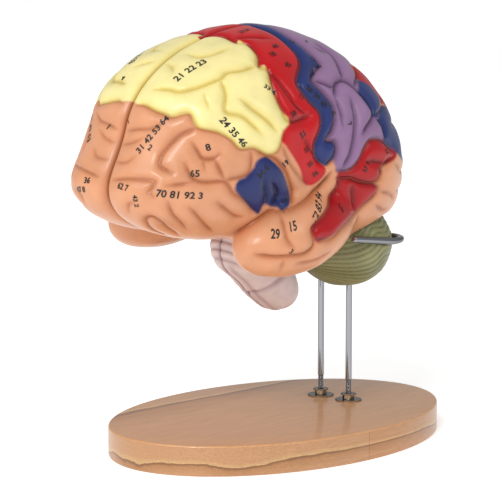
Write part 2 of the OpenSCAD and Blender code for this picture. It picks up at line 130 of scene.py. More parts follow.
def plainMetal(name, colour, edge, roughness, scratch):
    # metal with a fine directionless haze in its gloss, from handling and plating, and a painted
    # reflection in its colour: darker where it turns away, standing in for dark studio sides mirrored there
    material, shader = newMaterial(name, Metallic=1.0)
    turned = addNode(material, "ShaderNodeLayerWeight", Blend=0.35)
    # painted reflection: the colour runs to the darker edge colour where the surface turns away
    paintedReflection = addNode(material, "ShaderNodeValToRGB", Fac=(turned, "Facing"))
    for stop, tone, position in zip(paintedReflection.color_ramp.elements, (colour, edge), (0.12, 0.55)):
        stop.color = (*linear(tone), 1)
        stop.position = position
    linkTo(material, paintedReflection, "Color", shader, "Base Color")
    place = addNode(material, "ShaderNodeTexCoord")
    haze = addNode(material, "ShaderNodeTexNoise", Vector=(place, "Object"),
                   Scale=1 / (4 * mm), Detail=4.0)
    gloss = addNode(material, "ShaderNodeMapRange", Value=(haze, "Fac"),
                    i1=0.3, i2=0.7, i3=roughness, i4=roughness + scratch)
    linkTo(material, gloss, "Result", shader, "Roughness")
    return material


wood = {
    "light": "#D9AD74", "tan": "#CA9566", "brown": "#B67F4A", "dark": "#8E5D32",
    "layer": 30,            # mm, thickness of a growth layer
    "boundary": 16,         # mm up the edge, where the dark layer ends
    "curve": 0.0007,        # how fast the layers rise away from the near side, per mm
    "curveX": 80,           # mm, where they lie lowest
    "sway": 14, "swaySize": 55,     # mm, slow wander of the layers
    "ripple": 1.6, "rippleSize": 7, # mm, small waves of the layers' edges
    "along": 0.12,          # share by which the figure is drawn out along Y
    "pore": 1.4,            # mm between pores across the grain
    "edgeShade": 0.78,       # brightness of the edge against the top: painted shade on the board's side
    "jointY": -11,           # mm, butt joint in the edge
}


def varnishedWood():
    # flat-sawn solid wood under clear gloss varnish: layers that end in a crisp dark line,
    # drawn out along Y, fine pores along the grain and a wet-looking even coat
    material, shader = newMaterial("varnished solid wood", Roughness=0.42, IOR=1.5,
                                   Coat_Weight=0.4, Coat_Roughness=0.1)
    place = addNode(material, "ShaderNodeTexCoord")
    axes = addNode(material, "ShaderNodeSeparateXYZ", Vector=(place, "Object"))

    def calc(operation, a, b=0.0, c=0.0):
        return addNode(material, "ShaderNodeMath", {"operation": operation}, i0=a, i1=b, i2=c), "Value"

    drawn = addNode(material, "ShaderNodeMapping", Vector=(place, "Object"), Scale=(1, wood["along"], 1))
    slow = addNode(material, "ShaderNodeTexNoise", Vector=(drawn, "Vector"),
                   Scale=1 / (wood["swaySize"] * mm), Detail=1.0)
    quick = addNode(material, "ShaderNodeTexNoise", Vector=(drawn, "Vector"),
                    Scale=1 / (wood["rippleSize"] * mm), Detail=3.0)
    aside = calc("SUBTRACT", (axes, "X"), wood["curveX"] * mm)
    lift = calc("MULTIPLY", calc("MULTIPLY", aside, aside), wood["curve"] / mm)
    height = calc("ADD", (axes, "Z"), lift)
    height = calc("MULTIPLY_ADD", (slow, "Fac"), 2 * wood["sway"] * mm, height)
    height = calc("MULTIPLY_ADD", (quick, "Fac"), 2 * wood["ripple"] * mm, height)
    start = (wood["boundary"] + wood["sway"] + wood["ripple"]) * mm
    phase = calc("DIVIDE", calc("SUBTRACT", height, start), wood["layer"] * mm)
    ramp = addNode(material, "ShaderNodeValToRGB", Fac=calc("FRACT", phase))
    stops = ramp.color_ramp.elements
    stops[0].position, stops[0].color = 0.0, (*linear(wood["light"]), 1)
    stops[1].position, stops[1].color = 1.0, (*linear(wood["light"]), 1)
    for position, tone in ((0.13, "tan"), (0.6, "tan"), (0.9, "brown"), (0.955, "dark"), (0.985, "dark")):
        stops.new(position).color = (*linear(wood[tone]), 1)
    fibre = addNode(material, "ShaderNodeMapping", Vector=(place, "Object"), Scale=(1, 0.04, 1))
    pores = addNode(material, "ShaderNodeTexNoise", Vector=(fibre, "Vector"),
                    Scale=1 / (wood["pore"] * mm), Detail=3.0, Roughness=0.6)
    poreTone = addNode(material, "ShaderNodeMapRange", Value=(pores, "Fac"),
                       i1=0.35, i2=0.65, i3=0.87, i4=1.06)
    # butt joint: a dark hairline across the edge, with warmer wood behind it
    offJoint = calc("ABSOLUTE", calc("SUBTRACT", (axes, "Y"), wood["jointY"] * mm))
    below = calc("LESS_THAN", (axes, "Z"), (board["thickness"] - 1.5) * mm)
    line = calc("MULTIPLY", calc("LESS_THAN", offJoint, 0.35 * mm), below)
    tone = calc("MULTIPLY", (poreTone, "Result"), calc("MULTIPLY_ADD", line, -0.35, 1.0))
    # the board's side, below its top edge, darkened as painted shade
    tone = calc("MULTIPLY", tone, calc("MULTIPLY_ADD", below, wood["edgeShade"] - 1, 1.0))
    behind = calc("MULTIPLY", calc("GREATER_THAN", (axes, "Y"), wood["jointY"] * mm), below)
    warm = addNode(material, "ShaderNodeMix", {"data_type": "RGBA", "blend_type": "MULTIPLY"},
                   i0=calc("MULTIPLY", behind, 0.8), i6=(ramp, "Color"), i7=(1.0, 0.9, 0.72, 1))
    grained = addNode(material, "ShaderNodeVectorMath", {"operation": "SCALE"}, i0=(warm, 2), Scale=tone)
    linkTo(material, grained, "Vector", shader, "Base Color")
    relief = addNode(material, "ShaderNodeBump", Height=(pores, "Fac"), Strength=0.05, Distance=0.2 * mm)
    linkTo(material, relief, "Normal", shader, "Normal")
    return material


board = {"length": 360, "width": 243, "thickness": 27, "ease": 2, "around": 240,
         "hole": 6.6, "pocket": 24, "pocketDepth": 12}
brainPaint = paintedPvc("painted PVC, cerebrum", 0.34, 22, 0.12)
cerebellumPaint = paintedPvc("painted PVC, cerebellum", 0.4, 14, 0.15)
stemPaint = paintedPvc("painted PVC, brainstem", 0.4, 10, 0.2)
# the second colour of each metal is its painted reflection of dark surroundings at the edges
chrome = plainMetal("chrome-plated steel", "#9A9A9F", "#5A5B60", 0.06, 0.04)
zinc = plainMetal("zinc-plated steel", "#BFAE97", "#4A4238", 0.2, 0.12)
boardWood = varnishedWood()
numberInk, inkShader = newMaterial("printed black ink", Roughness=0.45)
inkShader.inputs["Base Color"].default_value = (*linear("#1B1717"), 1)
pegPlastic, pegShader = newMaterial("moulded white nylon", Roughness=0.5)
pegShader.inputs["Base Color"].default_value = (*linear("#E4E2DC"), 1)
print("materials made")


def newPiece(name, points, faces, material, replaced=(), flatFrom=None, paint=None):
    # points in millimetres; faces from number flatFrom on are shaded flat
    mesh = bpy.data.meshes.new(name)
    mesh.from_pydata((np.asarray(points, float) * mm).tolist(), [], faces)
    smooth = np.ones(len(mesh.polygons), bool)
    if flatFrom is not None:
        smooth[flatFrom:] = False
    mesh.polygons.foreach_set("use_smooth", smooth)
    if paint is not None:
        layer = mesh.attributes.new("paint", "FLOAT_COLOR", "POINT")
        layer.data.foreach_set("color", np.hstack([paint, np.ones((len(paint), 1))]).ravel())
    mesh.materials.append(material)
    mesh.update()
    piece = bpy.data.objects.new(name, mesh)
    bpy.context.scene.collection.objects.link(piece)
    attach(piece, "root")
    for node in replaced:
        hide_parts(node)
    return piece


def ringFaces(rings, around):
    # quads between successive closed rings of points
    i, k = np.meshgrid(np.arange(rings - 1), np.arange(around), indexing="ij")
    a, b = i * around + k, i * around + (k + 1) % around
    return np.stack([a, b, b + around, a + around], -1).reshape(-1, 4).tolist()


# The brain
lobes = {
    "frontal": {"at": (17, -104, 288), "half": (74, 92, 74)},
    "orbital": {"at": (24, -121, 243), "half": (55, 91, 38)},
    "crown": {"at": (2, -38, 297), "half": (83, 103, 86)},
    "occipital": {"at": (31, 47, 251), "half": (57, 50, 53)},
    "side": {"at": (48, 10, 266), "half": (51, 60, 76)},
    "temporal": {"at": (81, -62, 208), "half": (35, 67, 34), "pitch": 11},
    "blend": 45, "temporalBlend": 12,
}
brain = {
    "cells": 312, "hub": (0, -25, 262), "stretch": (0.75, 1.15, 0.9),
    "foldDepth": 6.8, "foldHalf": 10, "midlineDepth": 5.5, "midlineHalf": 9,
    "lineHalf": 1.7, "floorHalf": 0.55,
    "lean": 4, "turn": -1, "sideways": -2, "leanHeight": 200, "gap": 0.7, "hollowGap": 1.4,
}
smallBrain = {
    "cells": 190, "hub": (0, 42, 187), "at": (44, 42, 188), "half": (51, 40, 42),
    "ribs": 9, "ribDepth": 0.7, "folia": 50, "foliaDepth": 1.1, "fanPitch": 26,
    # folia paint, and the darker colour of the painted shade in the grooves, partly also a paint wash
    "paint": "#8A8960", "wash": "#4A4C2A",
}
stem = {
    "cells": 120, "hub": (0, -16, 163),
    "parts": [((0, -36, 184), (32, 36, 32)), ((0, -14, 158), (26, 29, 27)), ((0, 3, 138), (23, 21, 19))],
    # skin paint, and the darker colour of the painted shade in the grooves, partly also a paint wash
    "blend": 14, "paint": "#DCC9C5", "wash": "#A8888C",
}


def ellipsoid(p, at, half, pitch=0):
    # scaled length minus one, times the mean half size; the pitch raises the rear end
    q = p - np.array(at, float)
    c, s = np.cos(np.radians(pitch)), np.sin(np.radians(pitch))
    y, z = q[..., 1] * c + q[..., 2] * s, q[..., 2] * c - q[..., 1] * s
    size = np.cbrt(half[0] * half[1] * half[2])
    return (np.sqrt((q[..., 0] / half[0]) ** 2 + (y / half[1]) ** 2 + (z / half[2]) ** 2) - 1) * size


def melt(a, b, width):
    # the smaller distance, rounded over a width where the two are alike
    h = np.clip(0.5 + 0.5 * (b - a) / width, 0, 1)
    return b * (1 - h) + a * h - width * h * (1 - h)


def lobesAt(p):
    # five ellipsoids melted together widely, and the temporal one with a tighter seam
    value = None
    for name in ("frontal", "orbital", "crown", "occipital", "side"):
        part = ellipsoid(p, lobes[name]["at"], lobes[name]["half"])
        value = part if value is None else melt(value, part, lobes["blend"])
    temporal = lobes["temporal"]
    part = ellipsoid(p, temporal["at"], temporal["half"], temporal["pitch"])
    return melt(value, part, lobes["temporalBlend"])


def cerebrumAt(p):
    # the lobes, less the cerebellum grown by the hollow's gap
    return np.maximum(lobesAt(p), brain["hollowGap"] - ellipsoid(p, smallBrain["at"], smallBrain["half"]))


def stemAt(p):
    # three ellipsoids melted together, less the lobes grown by the gap
    parts = stem["parts"]
    value = ellipsoid(p, *parts[0])
    for at, half in parts[1:]:
        value = melt(value, ellipsoid(p, at, half), stem["blend"])
    return np.maximum(value, brain["gap"] - lobesAt(p))


def smallBrainAt(p):
    # one ellipsoid, less the brainstem grown by the gap
    return np.maximum(ellipsoid(p, smallBrain["at"], smallBrain["half"]), brain["gap"] - stemAt(p))


def reach(organAt, hub, n):
    # distance from the hub to the surface along n, by halving
    near, away = np.zeros(n.shape[:-1]), np.full(n.shape[:-1], 260.0)
    for _ in range(18):
        middle = (near + away) / 2
        inside = organAt(hub + n * middle[..., None]) < 0
        near, away = np.where(inside, middle, near), np.where(inside, away, middle)
    return (near + away) / 2


def heading(s, t, stretch=(1, 1, 1)):
    # square rounded to a disc, and the disc bent to the half sphere of directions about +X
    u, v = s * np.sqrt(1 - t * t / 2), t * np.sqrt(1 - s * s / 2)
    w = np.hypot(u, v)
    k = np.where(w > 1e-9, np.sin(w * np.pi / 2) / np.maximum(w, 1e-9), np.pi / 2)
    ahead = np.where(np.abs(w - 1) < 1e-6, 0, np.cos(w * np.pi / 2))
    n = np.stack([ahead, u * k, v * k], -1) * np.array(stretch)
    return n / np.linalg.norm(n, axis=-1, keepdims=True)


def drop(d, half):
    # quarter of a round gyrus: one at the fold's floor, nothing from half on
    return np.where(d >= half, 0, 1 - np.sqrt(np.clip(1 - (1 - np.minimum(d / half, 1)) ** 2, 0, 1)))


def squareGrid(cells):
    # points of the square map from -1 to 1 both ways, row by row
    line = np.linspace(-1, 1, cells + 1)
    return [axis.ravel() for axis in np.meshgrid(line, line, indexing="ij")]


def halfOrganFaces(cells):
    # triangles of the bent square with diagonals towards its corners, then a fan that closes
    # the flat midline face round the hub, which is the last point
    row = cells + 1
    i, j = [axis.ravel() for axis in np.meshgrid(np.arange(cells), np.arange(cells), indexing="ij")]
    a = i * row + j
    b, c, d = a + row, a + row + 1, a + 1
    same = (i < cells / 2) == (j < cells / 2)
    first = np.where(same[:, None], np.stack([a, b, c], 1), np.stack([a, b, d], 1))
    second = np.where(same[:, None], np.stack([a, c, d], 1), np.stack([b, c, d], 1))
    skin = np.vstack([first, second])
    k = np.arange(cells)
    rim = np.concatenate([k, k * row + cells, cells * row + (cells - k), (cells - k) * row])
    fan = np.stack([np.full(len(rim), row * row), rim, np.roll(rim, -1)], 1)
    return skin, fan


def inCradle(points, side=1):
    # mirrors for the right side, then leans and turns the brain in its cradle
    p = np.asarray(points, float) * np.array([side, 1, 1]) - np.array([0, 0, brain["leanHeight"]])
    a, b = np.radians(brain["lean"]), np.radians(brain["turn"])
    x = p[..., 0] * np.cos(a) + p[..., 2] * np.sin(a)
    z = p[..., 2] * np.cos(a) - p[..., 0] * np.sin(a)
    return np.stack([x * np.cos(b) - p[..., 1] * np.sin(b) + brain["sideways"],
                     x * np.sin(b) + p[..., 1] * np.cos(b), z + brain["leanHeight"]], -1)


# Folds of a hemisphere: a share of the fold depth, then points on the square map, in
# hundredths. Across runs front to back, up runs from below to above.
folds = [
    # side fissure
    (1.6, [(-46, -32), (-41, -25), (-36, -20), (-32, -17), (-27, -16), (-18, -13), (-13, -11),
           (-9, -8), (-6, -4), (-4, 0)]),
    # central fold, and the folds in front of and behind the two strips
    (1, [(-22, 98), (-15, 81), (-11, 64), (-12, 55), (-17, 47), (-18, 42), (-14, 35),
         (-10, 30), (-9, 26), (-10, 21), (-13, 14), (-12, 8), (-8, 4)]),
    (1, [(-66, 97), (-58, 94), (-49, 86), (-43, 76), (-37, 72), (-34, 62), (-35, 54),
         (-31, 51), (-31, 44), (-30, 36), (-28, 30), (-25, 25), (-15, 28)]),
    (0.7, [(-31, 51), (-28, 45), (-25, 39), (-22, 33), (-17, 28)]),
    (0.5, [(-44, 80), (-30, 77), (-22, 74)]),
    (0.6, [(-19, 18), (-16, 14), (-12, 8)]),
    (1, [(-6, 92), (-5, 78), (-3, 68), (0, 55), (-6, 50), (-9, 45), (-5, 38), (-2, 32),
         (-2, 26), (-4, 20), (-7, 16), (-3, 15), (-2, 11), (-4, 6), (-8, 4)]),
    # parietal lobe
    (1, [(0, 36), (3, 42), (8, 44), (13, 40), (16, 35), (18, 30), (18, 25), (13, 20), (10, 17)]),
    (0.8, [(8, 34), (8, 26), (6, 16), (4, 8), (1, 2)]),
    (0.6, [(0, 35), (1, 28), (1, 22)]),
    (0.7, [(-9, 45), (-4, 43), (0, 41), (3, 42)]),
    (0.8, [(8, 44), (11, 52), (13, 61), (10, 70)]),
    (0.6, [(5, 66), (10, 61)]),
    (0.6, [(18, 25), (24, 27), (30, 31), (36, 38)]),
    (0.8, [(13, 40), (19, 45), (25, 52), (30, 62), (28, 74)]),
    (0.6, [(22, 13), (22, 20), (18, 25)]),
    # edge between the peach and the yellow fields
    (0.8, [(-93, 51), (-88, 48), (-80, 40), (-75, 36), (-71, 33), (-64, 33), (-60, 25),
           (-53, 22), (-48, 18), (-45, 14), (-40, 14), (-35, 11), (-31, 12), (-29, 17), (-28, 21)]),
    # upper frontal lobe
    (0.8, [(-84, 57), (-75, 51), (-70, 47), (-64, 46), (-58, 47), (-52, 49), (-49, 52),
           (-43, 52), (-36, 54)]),
    (0.8, [(-52, 49), (-50, 40), (-50, 31), (-44, 28), (-37, 20)]),
    (0.8, [(-44, 36), (-40, 31), (-35, 26), (-31, 21)]),
    (0.5, [(-58, 41), (-56, 33)]),
    (0.5, [(-72, 78), (-64, 70), (-56, 68), (-48, 70)]),
    (0.5, [(-86, 80), (-80, 72), (-76, 64)]),
    # lower frontal lobe
    (0.8, [(-60, 25), (-66, 23), (-70, 19), (-73, 14), (-74, 10), (-73, 6), (-68, 3)]),
    (0.9, [(-62, 18), (-60, 13), (-58, 10), (-54, 10), (-52, 12)]),
    (0.7, [(-58, 10), (-57, 5)]),
    (0.8, [(-54, 10), (-52, 5), (-50, 0)]),
    (0.8, [(-50, 0), (-45, 1), (-42, 3), (-41, 7), (-41, 13)]),
    (0.9, [(-64, 8), (-62, 2), (-60, 0), (-57, -1), (-50, -1), (-47, -6), (-43, -10), (-38, -18)]),
    (0.7, [(-69, -3), (-64, -2), (-61, -1)]),
    (0.8, [(-52, -10), (-50, -13), (-46, -18), (-43, -19)]),
    (0.8, [(-61, -13), (-59, -17), (-57, -23), (-55, -30)]),
    (0.8, [(-68, -11), (-67, -17), (-65, -23), (-64, -28)]),
    (0.8, [(-77, -42), (-79, -34), (-79, -29), (-78, -24), (-75, -21), (-72, -24), (-71, -29),
           (-69, -36)]),
    (0.5, [(-81, -14), (-84, -17), (-85, -23)]),
    (0.6, [(-95, -5), (-86, -2), (-75, -1), (-74, -4), (-75, -7), (-73, -9)]),
    (0.4, [(-97, 8), (-90, 8), (-86, 12)]),
    (0.4, [(-97, 22), (-90, 22), (-84, 24)]),
    (0.5, [(-96, 33), (-88, 31), (-81, 29), (-75, 30)]),
    # round and within the speech field
    (1.1, [(-40, 14), (-36, 11), (-32, 9), (-27, 3), (-24, -4), (-22, -10), (-23, -14)]),
    (0.5, [(-29, 15), (-25, 6), (-19, -2), (-15, -6)]),
    (1.2, [(-34, -14), (-35, -7), (-36, -1)]),
    (1.2, [(-30, -15), (-30, -8), (-33, -2)]),
    # temporal lobe
    (0.7, [(-28, -17), (-27, -20), (-26, -23), (-23, -26)]),
    (0.9, [(0, -1), (0, -8), (-4, -12), (-9, -15), (-13, -17), (-17, -20), (-16, -25),
           (-19, -28), (-24, -29), (-30, -30), (-36, -31)]),
    (0.8, [(-16, -23), (-9, -24), (-4, -22), (1, -21), (7, -21), (11, -20), (15, -16), (19, -11),
           (19, -8), (16, -6)]),
    (0.5, [(-26, -30), (-26, -36)]),
    (0.5, [(-21, -32), (-14, -32), (-8, -29)]),
    (0.6, [(12, -21), (14, -27), (15, -32)]),
    # the two red fields
    (1.1, [(-1, -3), (5, -3), (10, -5), (16, -6), (19, -4), (20, 1), (27, 5)]),
    (0.8, [(12, 5), (16, 4), (21, 3)]),
    (0.8, [(6, -6), (8, -12), (9, -19)]),
    (0.8, [(-2, 1), (4, 1), (8, 5), (11, 11), (14, 14), (18, 14), (22, 12), (28, 7)]),
    # back and underside
    (0.6, [(20, -17), (25, -20), (30, -21)]),
    (0.6, [(20, -10), (27, -12), (33, -16)]),
    (0.6, [(28, 2), (36, -3), (46, -4)]),
    (0.8, [(30, 62), (38, 54), (46, 50), (56, 52), (66, 60)]),
    (0.8, [(33, 20), (42, 22), (50, 30), (58, 40)]),
    (0.7, [(40, 6), (50, 10), (60, 14), (72, 22)]),
    (0.7, [(34, -12), (44, -14), (54, -8), (66, -2), (80, 2)]),
    (0.7, [(32, -26), (42, -28), (54, -24), (68, -16)]),
    (0.7, [(70, 36), (80, 30), (90, 20)]),
    (0.6, [(-20, -50), (-6, -48), (8, -44), (22, -42)]),
    (0.6, [(-70, -56), (-62, -66), (-52, -74)]),
    (0.6, [(-84, -52), (-78, -66), (-66, -80)]),
]

# Painted fields: paint, a darker colour for the painted shade in the folds, partly also a darker wash of
# paint there, a darker line of painted shade along their floors, and outline on the square map, in
# hundredths. Peach is the paint of the rest.
peach = ("#D0936E", "#AC5C2C", "#84431C")
fields = {
    "premotor": ("#E8DB98", "#CDB546", "#B89A3C", [
        (-110, 66), (-100, 60), (-93, 52), (-88, 48), (-80, 40), (-75, 36), (-71, 33), (-64, 33), (-62, 28),
        (-60, 25), (-53, 22), (-48, 18), (-45, 14), (-40, 14), (-35, 11), (-31, 12), (-29, 17),
        (-28, 21), (-25, 25), (-28, 30), (-30, 36), (-31, 44), (-31, 50), (-32, 54), (-35, 54), (-34, 62),
        (-37, 72), (-41, 77), (-43, 76), (-49, 86), (-58, 94), (-64, 95), (-70, 99), (-75, 110),
        (-110, 110)]),
    "motor": ("#B8040F", "#8A0008", "#3E0204", [
        (-75, 110), (-70, 99), (-64, 95), (-58, 94), (-49, 86), (-43, 76), (-41, 77), (-37, 72), (-34, 62),
        (-35, 54), (-32, 54), (-31, 50), (-31, 44), (-30, 36), (-28, 30), (-25, 25), (-28, 21), (-29, 17),
        (-27, 14), (-23, 8), (-20, 3), (-17, -4), (-14, -6), (-11, -5), (-8, -2), (-7, 1), (-8, 4),
        (-12, 8), (-13, 14), (-10, 21), (-9, 26), (-10, 30), (-14, 35), (-18, 42), (-17, 47), (-12, 55),
        (-11, 64), (-15, 81), (-20, 92), (-24, 110)]),
    "sensory": ("#233068", "#121A48", "#070A22", [
        (-24, 110), (-20, 92), (-15, 81), (-11, 64), (-12, 55), (-17, 47), (-18, 42), (-14, 35),
        (-10, 30), (-9, 26), (-10, 21), (-13, 14), (-12, 8), (-8, 4), (-6, 4), (-3, 7), (-2, 11), (-4, 15),
        (-7, 16), (-6, 18), (-4, 20), (-3, 24), (-2, 29), (-3, 34), (-5, 38), (-8, 42), (-9, 45), (-8, 47),
        (-5, 49), (-5, 52), (0, 52), (0, 55), (-4, 63), (-3, 68), (-5, 78), (-6, 92), (-8, 110)]),
    "parietal": ("#8C6C90", "#5C3C62", "#2C1832", [
        (-8, 110), (-6, 92), (-5, 78), (-3, 68), (-4, 63), (0, 55), (0, 52), (-5, 52), (-5, 49),
        (-8, 47), (-9, 45), (-8, 42), (-5, 38), (-3, 34), (-2, 29), (-3, 24), (-4, 20), (-6, 18), (-7, 16),
        (-4, 15), (-2, 11), (-3, 8), (-3, 4), (-1, 0), (4, 1), (8, 5), (11, 11), (14, 14),
        (18, 14), (22, 12), (24, 18),
        (23, 24), (20, 28), (18, 32), (18, 37), (20, 42), (23, 48), (24, 54), (26, 60), (36, 66),
        (46, 78), (60, 110)]),
    "speech": ("#1C2860", "#0E1540", "#060920", [
        (-46, -2), (-45, 0), (-43, 1), (-40, 5), (-39, 8), (-36, 10), (-34, 9), (-31, 6), (-28, 2), (-25, -5),
        (-23, -11), (-24, -14), (-27, -16), (-29, -15), (-31, -15), (-33, -14), (-35, -13), (-36, -16),
        (-37, -18), (-40, -15), (-43, -10), (-46, -5)]),
    "interpretation": ("#A8040F", "#780008", "#360204", [
        (-1, 0), (4, 1), (8, 5), (11, 11), (14, 14), (18, 14), (22, 13), (27, 10), (30, 7), (28, 4), (23, 2),
        (20, 2), (20, -2), (18, -5), (16, -6), (10, -5), (5, -3), (-1, -3)]),
    "hearing": ("#A4030E", "#740008", "#320204", [
        (-1, -3), (0, -8), (-4, -12), (-9, -15), (-13, -17), (-17, -19), (-17, -21), (-15, -24), (-12, -24),
        (-9, -23), (-5, -22), (0, -21), (7, -21), (11, -20), (15, -16), (18, -13), (19, -10),
        (19, -8), (16, -6),
        (10, -5), (5, -3)]),
    "backBlueUpper": ("#28346A", "#141C4A", "#080B24", [
        (16, 40), (20, 44), (26, 40), (29, 34), (26, 30), (22, 25), (19, 24), (17, 27), (15, 31), (15, 36)]),
    "backBlueLower": ("#233066", "#121A48", "#080B24", [
        (26, 30), (34, 30), (42, 24), (46, 12), (38, 2), (33, 4), (27, 9), (22, 12), (21, 17), (20, 22),
        (22, 25)]),
    "backRed": ("#A80812", "#780008", "#360204", [
        (20, 53), (30, 56), (42, 46), (50, 34), (42, 24), (34, 30), (29, 34), (26, 40), (20, 44)]),
}


def smoothLine(points, steps=4):
    # Catmull-Rom curve through the points, a few steps to each span
    p = np.array(points, float)
    p = np.vstack([2 * p[0] - p[1], p, 2 * p[-1] - p[-2]])
    u = (np.arange(steps) / steps)[None, :, None]
    a, b, c, d = p[:-3, None], p[1:-2, None], p[2:-1, None], p[3:, None]
    q = 0.5 * (2 * b + (c - a) * u + (2 * a - 5 * b + 4 * c - d) * u ** 2 + (3 * b - a - 3 * c + d) * u ** 3)
    return np.vstack([q.reshape(-1, 2), p[-2:-1]])


def foldDrop(p):
    # deepest of the folds at each point: share times the gyrus curve of the distance to the
    # fold's floor, with each fold running out at its two ends; and the share of a dark line of painted shade
    # along the floor
    total, line = np.zeros(len(p)), np.zeros(len(p))
    half = brain["foldHalf"]
    for share, points in folds:
        at = smoothLine(points) / 100
        n = heading(at[:, 0], at[:, 1], brain["stretch"])
        floor = brainHub + n * reach(lobesAt, brainHub, n)[:, None]
        near = np.flatnonzero(np.all((p > floor.min(0) - half) & (p < floor.max(0) + half), axis=1))
        if len(near) == 0:
            continue
        best = np.full(len(near), np.inf)
        along = np.zeros(len(near))
        lengths = np.linalg.norm(np.diff(floor, axis=0), axis=1)
        start = np.concatenate([[0], np.cumsum(lengths)])
        for i, length in enumerate(lengths):
            step = floor[i + 1] - floor[i]
            k = np.clip((p[near] - floor[i]) @ step / (length ** 2 + 1e-9), 0, 1)
            d = np.linalg.norm(p[near] - floor[i] - k[:, None] * step, axis=1)
            closer = d < best
            best = np.where(closer, d, best)
            along = np.where(closer, start[i] + k * length, along)
        toEnd = np.minimum(along, start[-1] - along)
        best = np.sqrt(best ** 2 + brain["floorHalf"] ** 2)
        taper = np.clip(0.4 + toEnd / 12, 0, 1)
        shape = 0.72 * drop(best, half) + 0.28 * drop(best, half / 3)
        total[near] = np.maximum(total[near], min(share, 1.3) * taper * shape)
        floorLine = min(share + 0.25, 1) * taper * np.exp(-(best / brain["lineHalf"]) ** 2)
        line[near] = np.maximum(line[near], floorLine)
    return total, line


brainHub = np.array(brain["hub"], float)


def lumps(p):
    # low soft swellings of the gyri, a sum of three slow sine waves
    return (np.sin(p[:, 0] / 9.0 + p[:, 1] / 13.0) * np.sin(p[:, 1] / 8.0 - p[:, 2] / 11.0)
            + 0.6 * np.sin(p[:, 2] / 7.0 + p[:, 0] / 12.0)) * 0.5


def hemisphereSkin(n):
    # surface in the direction n: lobes, then folds and the rounded midline edge, with the shares of painted
    # shade in the folds and in a dark line along their floors
    r = reach(cerebrumAt, brainHub, n)
    p = brainHub + n * r[:, None]
    fold, line = foldDrop(p)
    aside = np.abs(p[:, 0])
    midline = drop(aside, brain["midlineHalf"])
    fall = np.maximum(brain["foldDepth"] * fold, brain["midlineDepth"] * midline)
    inner = np.clip(aside / 20, 0, 1)
    r = r - fall + 0.7 * inner * (lumps(p) - 0.8)
    # a dark line of painted shade along the midline fissure
    line = np.maximum(line, 1.5 * np.exp(-(aside / 1.4) ** 2))
    # the midline trough takes the folds' painted shade too
    return brainHub + n * r[:, None], np.maximum(fold, 0.8 * midline), line


def insideOutline(s, t, outline, soft=0.45):
    # one inside the outline, nothing outside, with an edge that is soft over a few tenths
    q = np.stack([s, t], 1) * 100
    v = smoothLine(list(outline) + [outline[0]], 3)[:-1]
    w = np.roll(v, -1, axis=0)
    inside = np.zeros(len(q), bool)
    nearest = np.full(len(q), np.inf)
    for a, b in zip(v, w):
        crosses = (a[1] > q[:, 1]) != (b[1] > q[:, 1])
        with np.errstate(divide="ignore", invalid="ignore"):
            x = a[0] + (q[:, 1] - a[1]) * (b[0] - a[0]) / (b[1] - a[1])
        inside ^= crosses & (q[:, 0] < x)
        step = b - a
        k = np.clip((q - a) @ step / (step @ step + 1e-9), 0, 1)
        nearest = np.minimum(nearest, np.linalg.norm(q - a - k[:, None] * step, axis=1))
    signed = np.where(inside, nearest, -nearest)
    return np.clip(0.5 + signed / (2 * soft), 0, 1)


def mixed(a, b, k):
    # from a to b by the share k
    return a + (b - a) * k[:, None]


def cerebrumPaint(s, t, depth, line):
    # each field's paint runs into a darker colour in the folds and a darker line along their floors: painted
    # shade, partly also a darker paint wash in the folds
    # share of the painted shade, partly paint wash, growing with the fold's depth
    wash = 0.95 * np.clip(1.15 * depth, 0, 1) ** 0.85
    whole = lambda colour: np.tile(np.array(linear(colour)), (len(s), 1))

    def painted(paint, dark, darkLine):
        return mixed(mixed(whole(paint), whole(dark), wash), whole(darkLine), 0.55 * line)

    colour = painted(*peach)
    for paint, dark, darkLine, outline in fields.values():
        colour = mixed(colour, painted(paint, dark, darkLine), insideOutline(s, t, outline))
    return colour


def makeCerebrum():
    # the folded skin over the whole square map, painted, and closed at the midline
    s, t = squareGrid(brain["cells"])
    points, depth, line = hemisphereSkin(heading(s, t, brain["stretch"]))
    rim = np.maximum(np.abs(s), np.abs(t)) > 0.9999
    points[rim, 0] = 0
    paint = cerebrumPaint(s, t, depth, line)
    skin, fan = halfOrganFaces(brain["cells"])
    for side, name in ((1, "left"), (-1, "right")):
        placed = inCradle(np.vstack([points, brainHub]), side)
        faces = np.vstack([skin, fan])[:, ::side]
        newPiece("brain_hemisphere_" + name, placed, faces.tolist(), brainPaint,
                 ["cerebrum_" + name], len(skin), np.vstack([paint, [linear(peach[0])]]))


makeCerebrum()
print("cerebrum made")

cradle = {
    "rod": 6, "thread": 5.4, "legX": 17.5, "legY": 80, "height": 187.3, "bend": 14,
    "cornerX": 94.5, "cornerR": 27, "toeIn": 6, "rise": 6.6, "arm": 47, "tip": 1.5, "seat": 0.3,
    "foot": 4.2, "threadTop": 46.8, "pitch": 1.0,
}


